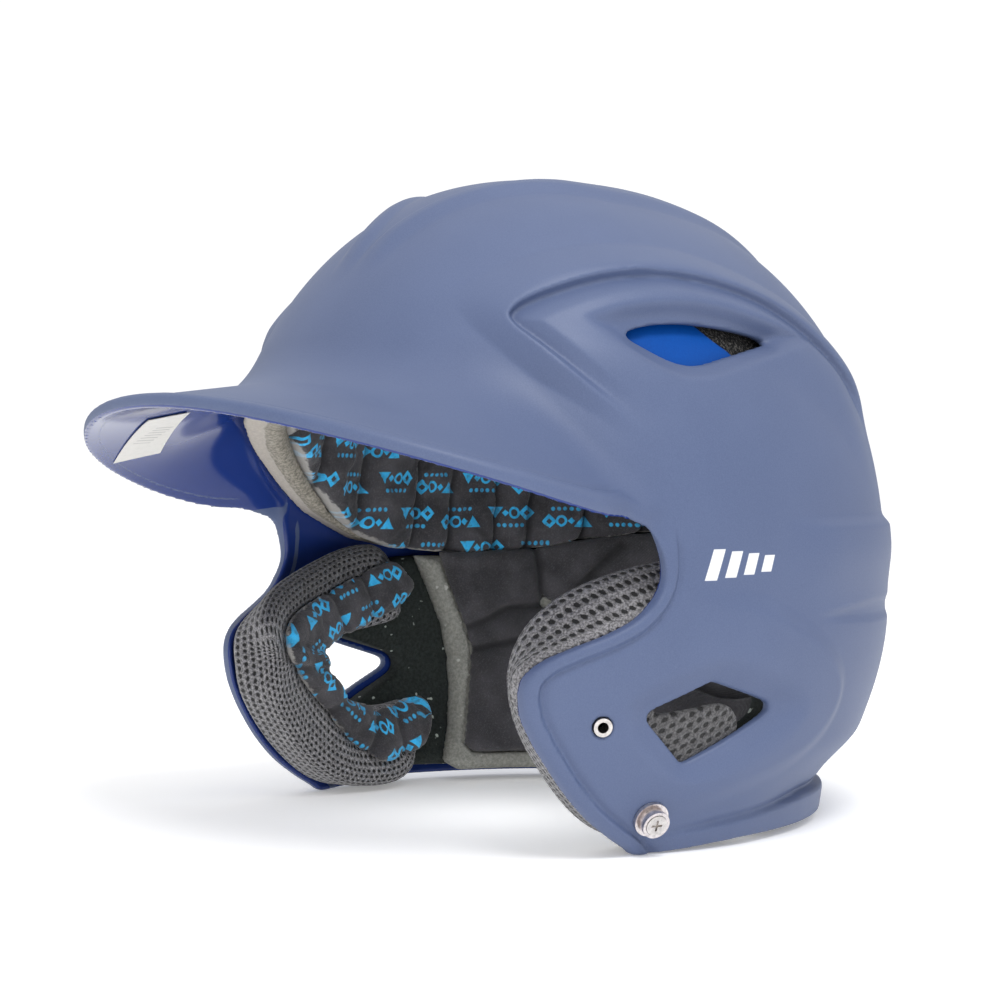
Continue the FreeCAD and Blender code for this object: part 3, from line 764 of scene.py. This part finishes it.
def rear_cover_shape(x, y, z):
    depth, y2, z2 = side_frame(x, y, z)
    outline = loop_distance(np.array(REAR_FABRIC), y2, z2) + 0.4
    inner = 25.0 + ruffle(y2, z2, 0.25)
    # fold: nearness to a crease, carried as painted shade into the creases
    fold = np.zeros_like(y2)
    for crease in REAR_CREASES:
        gap, _ = path_distance(spline(crease, 5), y2, z2)
        inner = inner - 2.3 * np.exp(-(gap / 1.9) ** 2) - 1.2 * np.exp(-(gap / 6.0) ** 2)
        fold = np.maximum(fold, np.exp(-(gap / 1.5) ** 2))
    cover = smooth_max(outline, depth - inner, 4.0)
    cover = smooth_max(cover, 18.9 - depth, 1.0)
    return cover, {"pad_u": y, "pad_v": z, "pad_fold_shade": fold}


def crown_pad_shape(x, y, z):
    depth = -DOME.distance(x, y, z)
    away = np.hypot(x, y - 5.0)
    quilt = 1.3 * np.exp(-(((away - 24.0) / 2.0) ** 2))
    pad = smooth_max(away - 45.0, depth - 19.8 + quilt, 7.0)
    pad = smooth_max(pad, 13.5 - depth, 1.5)
    return pad, {"pad_u": x, "pad_v": y,
                 "pad_hold": np.maximum(quilt / 1.3, smoothstep(16.5, 15.0, depth))}


def vent_sheet_shape(x, y, z):
    depth, y2, z2 = side_frame(x, y, z)
    hole = loop_distance(soft_loop(VENT_HOLE), y2 - 4.0, z2)
    sheet = smooth_max(hole - 7.0, depth - 10.0, 1.5)
    return smooth_max(sheet, 7.4 - depth, 1.0), {}


def rear_foam_shape(x, y, z):
    depth, y2, z2 = side_frame(x, y, z)
    lower = np.maximum(62.6 - y2, 6.0 - z2)
    upper = np.maximum(30.5 - y2, 90.0 - z2)
    region = np.maximum(np.minimum(lower, upper), z2 - 142.5)
    foam = smooth_max(region, depth - 12.9, 2.0)
    return smooth_max(foam, 4.0 + nape_sweep(y, z) - depth, 1.5), {}


def side_foam_shape(x, y, z):
    depth, y2, z2 = side_frame(x, y, z)
    outline = loop_distance(np.array(SIDE_FOAM), y2, z2)
    hole = loop_distance(rounded_polygon(EAR_HOLE, EAR_HOLE_ROUNDING), y2, z2)
    foam = smooth_max(outline, depth - 13.0, 4.0)
    foam = smooth_max(foam, 3.9 + nape_sweep(y, z) - depth, 1.5)
    foam = smooth_max(foam, 2.0 - hole, 3.0)
    for centre, axis, _ in HARDWARE_HOLES:
        along, away = from_axis(centre, axis, x, y, z)
        foam = smooth_max(foam, np.where(np.abs(along) < 20.0, 8.5 - away, -20.0), 1.0)
    return foam, {}


def build_soft_parts():
    side_box = ((52.0, -66.0, 0.5), (107.0, 66.0, 92.0))
    vent_box = ((60.0, -40.0, 136.0), (100.0, 56.0, 170.0))
    band_box = ((0.0, -102.0, 80.0), (108.0, 136.0, 176.0))
    front_box = ((0.0, -102.0, 84.0), (108.0, 31.0, 176.0))
    rear_box = ((0.0, 22.0, 1.0), (106.0, 134.0, 100.0))
    foam_box = ((0.0, 28.0, 3.0), (108.0, 136.0, 146.0))
    crown_box = ((0.0, -46.0, 160.0), (50.0, 56.0, 204.0))
    for side in ("left", "right"):
        pads = build_pad("ear_mesh", side_box, ear_mesh_shape(side), "spacer_mesh", (side,))
        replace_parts(pads[0], "ear_pad_mesh_" + side, "ear_pad_core_" + side)
    for name, box, shape, finish, node in (
            ("vent_sheet", vent_box, vent_sheet_shape, "blue_plastic", "vent_liner"),
            ("ear_ring", side_box, ring_shape, "printed_fabric", "ear_comfort_ring"),
            ("side_foam", side_box, side_foam_shape, "dark_foam", "side_foam_liner")):
        for piece, side in zip(build_pad(name, box, shape, finish), ("_left", "_right")):
            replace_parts(piece, node + side)
    for name, box, shape, finish, node in (
            ("headband", band_box, headband_shape, "printed_fabric", "headband_pad"),
            ("front_foam", front_box, front_foam_shape, "front_foam", "front_foam_liner"),
            ("rear_backing", rear_box, rear_backing_shape, "grey_foam", "rear_pad_backing"),
            ("rear_cover", rear_box, rear_cover_shape, "black_fabric", "rear_pad_cover"),
            ("rear_foam", foam_box, rear_foam_shape, "dark_foam", "rear_foam_liner"),
            ("crown_pad", crown_box, crown_pad_shape, "black_fabric", "crown_comfort_pad")):
        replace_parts(build_pad(name, box, shape, finish, ())[0], node)


# ---------------------------------------------------------------------------------------
# Materials
# ---------------------------------------------------------------------------------------
class Value:
    """Output of a shader node, to use in sums."""

    def __init__(self, nodes, socket):
        self.nodes = nodes
        self.socket = socket

    def __add__(self, other):
        return self.nodes.math("ADD", self, other)

    def __sub__(self, other):
        return self.nodes.math("SUBTRACT", self, other)

    def __mul__(self, other):
        return self.nodes.math("MULTIPLY", self, other)

    def __truediv__(self, other):
        return self.nodes.math("DIVIDE", self, other)

    def __abs__(self):
        return self.nodes.math("ABSOLUTE", self)


class Nodes:
    """Short-hand for building a node material."""

    def __init__(self, name):
        self.material = bpy.data.materials.new(name)
        self.material.use_nodes = True
        self.tree = self.material.node_tree
        self.shader = self.tree.nodes["Principled BSDF"]

    def add(self, kind, **settings):
        node = self.tree.nodes.new(kind)
        for key, value in settings.items():
            if key in node.inputs:
                self.put(node, key, value)
            else:
                setattr(node, key, value)
        return node

    def put(self, node, socket, value):
        if isinstance(value, Value):
            self.tree.links.new(value.socket, node.inputs[socket])
        else:
            node.inputs[socket].default_value = value

    def set(self, **inputs):
        """Sets inputs of the shader, with _ for each space in their names."""
        for key, value in inputs.items():
            self.put(self.shader, key.replace("_", " "), value)

    def place(self):
        """Position on the helmet, in millimetres."""
        split = self.add("ShaderNodeSeparateXYZ")
        self.tree.links.new(self.add("ShaderNodeTexCoord").outputs["Object"], split.inputs[0])
        return [Value(self, split.outputs[k]) * (1.0 / MM) for k in range(3)]

    def noise(self, scale, detail=4.0, roughness=0.55):
        node = self.add("ShaderNodeTexNoise", Scale=scale, Detail=detail, Roughness=roughness)
        self.tree.links.new(self.add("ShaderNodeTexCoord").outputs["Object"], node.inputs["Vector"])
        return Value(self, node.outputs["Fac"])

    def ramp(self, value, low, high, start=0.0, end=1.0):
        node = self.add("ShaderNodeMapRange", interpolation_type="SMOOTHSTEP")
        names = ("Value", "From Min", "From Max", "To Min", "To Max")
        for key, item in zip(names, (value, low, high, start, end)):
            self.put(node, key, item)
        return Value(self, node.outputs["Result"])

    def mix(self, factor, a, b):
        """Colour between a and b."""
        node = self.add("ShaderNodeMix", data_type="RGBA")
        for socket, item in ((0, factor), (6, a), (7, b)):
            self.put(node, socket, item)
        return Value(self, node.outputs[2])

    def math(self, operation, *items):
        node = self.add("ShaderNodeMath", operation=operation)
        for k, item in enumerate(items):
            self.put(node, k, item)
        return Value(self, node.outputs[0])

    def attribute(self, name):
        return Value(self, self.add("ShaderNodeAttribute", attribute_name=name).outputs["Fac"])

    def bump(self, height, strength, distance, before=None):
        node = self.add("ShaderNodeBump", Strength=strength, Distance=distance, Height=height)
        if before is not None:
            self.put(node, "Normal", before)
        return Value(self, node.outputs["Normal"])


def rgb(red, green, blue):
    """Linear colour from an everyday 0-255 one."""
    parts = []
    for value in (red, green, blue):
        v = value / 255.0
        parts.append(v / 12.92 if v <= 0.04045 else ((v + 0.055) / 1.055) ** 2.4)
    return (*parts, 1.0)


def shell_material():
    """Matte blue outside with the white side mark, glossy darker blue inside."""
    n = Nodes("shell_plastic")
    outside = n.ramp(n.attribute("depth"), 0.06 - WALL, 0.28 - WALL)
    cloud = n.noise(14.0, 3.0)
    grain = n.noise(2600.0, 2.0)
    matte = n.mix(n.ramp(cloud, 0.3, 0.7), rgb(77, 91, 126), rgb(84, 98, 133))
    matte = n.mix(n.ramp(grain, 0.25, 0.8, 0.0, 0.3), matte, rgb(104, 118, 149))
    matte = n.mix(side_mark(n), matte, rgb(236, 238, 240))
    gloss = n.mix(cloud, rgb(28, 50, 116), rgb(34, 58, 128))
    n.set(Base_Color=n.mix(outside, gloss, matte), Roughness=n.ramp(outside, 0.0, 1.0, 0.12, 0.5))
    n.set(Normal=n.bump(grain, n.ramp(outside, 0.0, 1.0, 0.0, 0.12), 0.0003))
    return n.material


def side_mark(n):
    """Generic side decoration: four slanted white bars of falling length."""
    x, y, z = n.place()
    rise = z - 87.0
    along = y - 4.6 - rise * 0.4
    bars = 0.0
    for centre, half_height in ((-10.5, 4.4), (-3.5, 3.7), (3.5, 3.0), (10.5, 2.3)):
        wide = n.ramp(abs(along - centre), 2.0, 2.3, 1.0, 0.0)
        tall = n.ramp(abs(rise), half_height, half_height + 0.3, 1.0, 0.0)
        bars = n.math("MAXIMUM", bars, wide * tall)
    return bars * n.ramp(abs(x), 40.0, 41.0)


def plain_material(name, colour, roughness, metal=0.0):
    """Finish of the small parts: one colour, faintly mottled and grained."""
    n = Nodes(name)
    noise = n.noise(900.0)
    darker = tuple(0.7 * c for c in colour[:3]) + (1.0,)
    n.set(Base_Color=n.mix(n.ramp(noise, 0.3, 0.7), darker, colour), Roughness=roughness, Metallic=metal)
    n.set(Normal=n.bump(noise, 0.2, 0.0002))
    return n.material


def distance(n, u, v):
    return n.math("SQRT", u * u + v * v)


def mesh_material():
    """Grey spacer mesh: rows of small oval holes, staggered; the holes and parts of the yarn are painted
    shade.
    """
    n = Nodes("spacer_mesh")
    pitch, row_pitch = 3.5, 2.7
    u, v = n.attribute("pad_u"), n.attribute("pad_v")
    row = n.math("FLOOR", v / row_pitch)
    shift = n.math("PINGPONG", row, 1.0) * (0.5 * pitch)
    across = n.math("WRAP", u + shift, pitch, 0.0) - 0.5 * pitch
    down = v - row * row_pitch - 0.5 * row_pitch
    hole = distance(n, across / 1.12, down / 0.72)
    fuzz = n.noise(1500.0, 3.0)
    solid = n.ramp(hole + (fuzz - 0.5) * 0.7, 0.8, 1.15)
    yarn = n.mix(n.ramp(fuzz, 0.3, 0.75), rgb(78, 77, 79), rgb(172, 170, 172))
    # painted shade: yarn darkened behind the left ear hole and high on the right pad
    yarn = n.mix(n.attribute("pad_painted_shade") * 0.65, yarn, rgb(24, 24, 26))
    # the holes are painted near black, the shade seen through them
    n.set(Base_Color=n.mix(solid, rgb(6, 6, 7), yarn), Roughness=0.75, Sheen_Weight=0.25)
    n.set(Normal=n.bump(n.ramp(hole, 0.6, 1.6) + fuzz * 0.4, 0.9, 0.0009))
    return n.material


def fabric_material(name, printed):
    """Dark knitted cloth with painted shade in its folds; the printed one has a repeat print and torn light
    edges.
    """
    n = Nodes(name)
    cloud = n.noise(60.0, 4.0)
    fine = n.noise(1800.0, 2.0)
    base = n.mix(n.ramp(cloud, 0.3, 0.75), rgb(47, 46, 49), rgb(74, 72, 76))
    base = n.mix(n.ramp(fine, 0.45, 0.85, 0.0, 0.4), base, rgb(112, 110, 114))
    if printed:
        base = n.mix(print_mask(n), base, n.mix(fine, rgb(30, 160, 225), rgb(70, 205, 255)))
        edge = n.attribute("pad_edge") - n.noise(500.0, 3.0) * 1.6
        base = n.mix(n.ramp(edge, -0.5, 0.0, 0.75, 0.0), base, rgb(176, 173, 168))
    # painted shade: folds, channels and creases darkened towards near black
    base = n.mix(n.ramp(n.attribute("pad_fold_shade"), 0.1, 1.0, 0.0, 0.75), base, rgb(20, 20, 22))
    ribs = n.math("SINE", n.attribute("pad_u") * 9.0)
    courses = n.math("SINE", n.attribute("pad_v") * 11.0)
    knit = ribs * courses + n.noise(600.0, 4.0)
    n.set(Base_Color=base, Roughness=0.85, Sheen_Weight=0.25)
    n.set(Normal=n.bump(knit, 0.35, 0.0002, n.bump(cloud, 0.5, 0.002)))
    return n.material


def print_mask(n):
    """Generic repeat print of small shapes: hollow diamond, ring, solid diamond, wedge, dots."""
    across, down = 21.0, 13.0
    u, v = n.attribute("pad_u"), n.attribute("pad_v")
    row = n.math("FLOOR", v / down)
    moved = u + n.math("PINGPONG", row, 1.0) * (0.45 * across)
    cell = n.math("FLOOR", moved / across)
    flip = n.math("SUBTRACT", 1.0, n.math("PINGPONG", cell + row, 1.0) * 2.0)
    lu = (moved - cell * across - 0.5 * across) * flip
    lv = (v - row * down - 0.5 * down) * flip
    low = lv + 1.6
    hollow = abs(abs(lu + 6.2) + abs(low) - 2.0)
    ring = abs(distance(n, lu + 1.5, low) - 1.75)
    diamond = abs(lu - 2.2) + abs(low)
    mask = n.ramp(hollow, 0.75, 1.0, 1.0, 0.0)
    mask = n.math("MAXIMUM", mask, n.ramp(ring, 0.35, 0.55, 1.0, 0.0))
    mask = n.math("MAXIMUM", mask, n.ramp(diamond, 1.2, 1.5, 1.0, 0.0))
    wedge = n.ramp(abs(lu - 6.0) + low * 0.7, 1.2, 1.5, 1.0, 0.0) * n.ramp(low, -2.4, -2.1)
    mask = n.math("MAXIMUM", mask, wedge)
    for centre in (-4.6, -2.3, 0.0, 2.3, 4.6):
        dot = n.ramp(distance(n, lu - centre, lv - 3.0), 0.6, 0.9, 1.0, 0.0)
        mask = n.math("MAXIMUM", mask, dot * 0.75)
    return mask * n.ramp(n.noise(420.0, 3.0), 0.3, 0.5, 0.55, 1.0)


def foam_material(name, dark, light, speck, speck_amount, core=None):
    """Beaded foam with light specks; deeper than its skin it shows the core's two colours, if given."""
    n = Nodes(name)
    cells = n.noise(900.0, 5.0, 0.7)
    cloud = n.noise(35.0, 3.0)
    base = n.mix(n.ramp(cells, 0.3, 0.7), dark, light)
    base = n.mix(n.ramp(cloud, 0.35, 0.7, 0.0, 0.3), base, dark)
    if core is not None:
        torn = n.attribute("pad_v") + n.noise(160.0, 4.0) * 3.0
        base = n.mix(n.ramp(torn, 12.2, 12.9), base, n.mix(n.ramp(cells, 0.35, 0.65), *core))
    base = n.mix(n.ramp(n.noise(330.0, 1.0), 0.7, 0.76, 0.0, speck_amount), base, speck)
    n.set(Base_Color=base, Roughness=0.8, Normal=n.bump(cells, 0.5, 0.0006))
    return n.material


def label_material():
    """Pale blank sticker with a few faint grey strokes, no lettering."""
    n = Nodes("label_paper")
    x, y, _ = n.place()
    stroke = n.ramp(abs(n.math("FRACT", x / 2.6) - 0.5), 0.13, 0.2, 1.0, 0.0)
    inside = n.ramp(abs(y + 96.0), 3.0, 3.4, 1.0, 0.0)
    middle = n.ramp(abs(abs(x) - 66.0), 8.0, 8.6, 1.0, 0.0)
    wear = n.ramp(n.noise(500.0, 3.0), 0.4, 0.8, 0.0, 0.3)
    paper = n.mix(wear, rgb(226, 224, 219), rgb(196, 194, 188))
    n.set(Base_Color=n.mix(stroke * inside * middle * 0.5, paper, rgb(130, 130, 130)), Roughness=0.55)
    return n.material


def vent_material():
    """Bright blue sheet behind the upper opening, giving way to dark granular foam at the rear."""
    n = Nodes("blue_plastic")
    _, y, z = n.place()
    edge = y + (z - 158.5) * 1.4 + n.noise(220.0, 3.0) * 2.0
    rear = n.ramp(edge, 11.4, 12.2)
    grain = n.noise(1500.0, 3.0)
    foam = n.mix(n.ramp(grain, 0.45, 0.7), rgb(20, 21, 22), rgb(92, 90, 88))
    n.set(Base_Color=n.mix(rear, n.mix(grain, rgb(0, 66, 148), rgb(2, 80, 168)), foam))
    n.set(Roughness=n.ramp(rear, 0.0, 1.0, 0.5, 0.9), Specular_IOR_Level=0.15)
    n.set(Normal=n.bump(grain, n.ramp(rear, 0.0, 1.0, 0.05, 0.8), 0.0006))
    return n.material


def make_materials():
    """Materials by finish; front_foam is a lighter copy of the grey foam, painted light to the look it has
    under the bill.
    """
    return {
        "shell_plastic": shell_material(),
        "spacer_mesh": mesh_material(),
        "printed_fabric": fabric_material("printed_fabric", True),
        "black_fabric": fabric_material("black_fabric", False),
        # painted light: a lighter copy of the grey foam, as it looks under the bill
        "front_foam": foam_material("front_foam", rgb(168, 161, 152), rgb(190, 183, 174),
                                    rgb(205, 200, 192), 0.3, (rgb(112, 108, 98), rgb(168, 162, 150))),
        "grey_foam": foam_material("grey_foam", rgb(120, 120, 114), rgb(160, 160, 152),
                                   rgb(212, 212, 206), 0.5),
        "dark_foam": foam_material("dark_foam", rgb(22, 27, 25), rgb(50, 56, 53),
                                   rgb(205, 214, 205), 0.7),
        "label_paper": label_material(),
        "blue_plastic": vent_material(),
        "soft_foam": plain_material("soft_foam", rgb(70, 70, 72), 0.95),
        "hook_tape": plain_material("hook_tape", rgb(40, 40, 42), 0.95),
        "plated_steel": plain_material("plated_steel", rgb(225, 220, 216), 0.32, 1.0),
        "nickel_plate": plain_material("nickel_plate", rgb(238, 230, 228), 0.3, 1.0),
    }


MATERIALS = make_materials()

NODE_FINISH = {
    "front_foam_liner": "grey_foam", "rear_pad_backing": "grey_foam", "side_foam_liner": "dark_foam",
    "rear_foam_liner": "dark_foam", "crown_foam_liner": "dark_foam", "ear_pad_core": "soft_foam",
    "headband_pad": "printed_fabric", "ear_comfort_ring": "printed_fabric", "rear_pad_cover": "black_fabric",
    "crown_comfort_pad": "black_fabric", "ear_pad_mesh": "spacer_mesh", "crown_hook_patch": "hook_tape",
    "front_hook_patches": "hook_tape", "rear_hook_patches": "hook_tape", "vent_liner": "blue_plastic",
    "blank_label": "label_paper", "snap_screw": "plated_steel", "snap_tee_nut": "plated_steel",
    "face_guard_insert": "plated_steel", "snap_stud": "nickel_plate", "snap_washer": "nickel_plate",
}


def dress_frame():
    """Gives every CAD node but the shell the material of its finish."""
    for name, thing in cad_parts.items():
        finish = NODE_FINISH.get(name.removesuffix("_left").removesuffix("_right"))
        if finish is not None:
            thing.data.materials.clear()
            thing.data.materials.append(MATERIALS[finish])


# ---------------------------------------------------------------------------------------
# Stage
# ---------------------------------------------------------------------------------------
def build_stage():
    n = Nodes("floor_white")
    n.set(Base_Color=n.mix(n.noise(3.0, 2.0), rgb(249, 249, 249), rgb(251, 251, 251)), Roughness=0.8)
    n.set(Specular_IOR_Level=0.0, Emission_Color=(1.0, 1.0, 1.0, 1.0), Emission_Strength=0.23)
    corners = [(x * FLOOR_REACH, y * FLOOR_REACH, 0) for x, y in ((-1, -1), (1, -1), (1, 1), (-1, 1))]
    make_mesh("floor", corners, [(0, 1, 2, 3)], n.material)


def add_lamp(name, kind, place, aim, power, size):
    """Lamp at a place, aimed at a point."""
    lamp = bpy.data.lights.new(name, kind)
    lamp.energy = power
    if kind == "AREA":
        lamp.shape = "DISK"
        lamp.size = size
    else:
        lamp.shadow_soft_size = size
    thing = bpy.data.objects.new(name, lamp)
    thing.location = place
    thing.rotation_euler = (Vector(aim) - Vector(place)).to_track_quat("-Z", "Y").to_euler()
    bpy.context.scene.collection.objects.link(thing)
    return thing


def build_sky():
    """Soft light from all round, stronger overhead, in front of a white backdrop."""
    world = bpy.context.scene.world or bpy.data.worlds.new("studio")
    bpy.context.scene.world = world
    world.use_nodes = True
    nodes, link = world.node_tree.nodes, world.node_tree.links.new
    sky = nodes["Background"]
    backdrop = nodes.new("ShaderNodeBackground")
    for background in (sky, backdrop):
        background.inputs["Color"].default_value = (1.0, 1.0, 1.0, 1.0)
    backdrop.inputs["Strength"].default_value = BACKDROP
    split = nodes.new("ShaderNodeSeparateXYZ")
    link(nodes.new("ShaderNodeTexCoord").outputs["Generated"], split.inputs[0])
    height = nodes.new("ShaderNodeMapRange")
    link(split.outputs[2], height.inputs["Value"])
    height.inputs["To Min"].default_value = SKY_AT_HORIZON
    height.inputs["To Max"].default_value = SKY_OVERHEAD
    link(height.outputs["Result"], sky.inputs["Strength"])
    mix = nodes.new("ShaderNodeMixShader")
    link(nodes.new("ShaderNodeLightPath").outputs["Is Camera Ray"], mix.inputs[0])
    link(sky.outputs[0], mix.inputs[1])
    link(backdrop.outputs[0], mix.inputs[2])
    link(mix.outputs[0], nodes["World Output"].inputs["Surface"])


def build_lights():
    build_sky()
    bpy.context.scene.view_settings.view_transform = "Standard"
    add_lamp("key", "AREA", (0.95, -0.35, 1.6), (0.0, 0.0, 0.1), 15.0, 0.7)
    add_lamp("fill", "AREA", (0.9, -1.4, 0.5), (0.0, 0.0, 0.05), 1.8, 0.8)
    glow = add_lamp("inner_glow", "POINT", (0.0, 0.0, 0.06), (0.0, 0.0, 0.1), 0.105, 0.03)
    glow.visible_camera = False
    glow.visible_glossy = False


def build_camera():
    """Camera where the helmet was seen from: level with its lower half, to the left of its front."""
    lens = bpy.data.cameras.new("camera")
    lens.lens = CAMERA_LENS
    lens.sensor_width = 36.0
    lens.clip_end = 20.0
    camera = bpy.data.objects.new("camera", lens)
    camera.location = CAMERA_PLACE
    camera.rotation_euler = Vector(CAMERA_AIM).to_track_quat("-Z", "Y").to_euler()
    bpy.context.scene.collection.objects.link(camera)
    bpy.context.scene.camera = camera


dress_frame()
build_shell()
build_soft_parts()
build_stage()
build_lights()
build_camera()
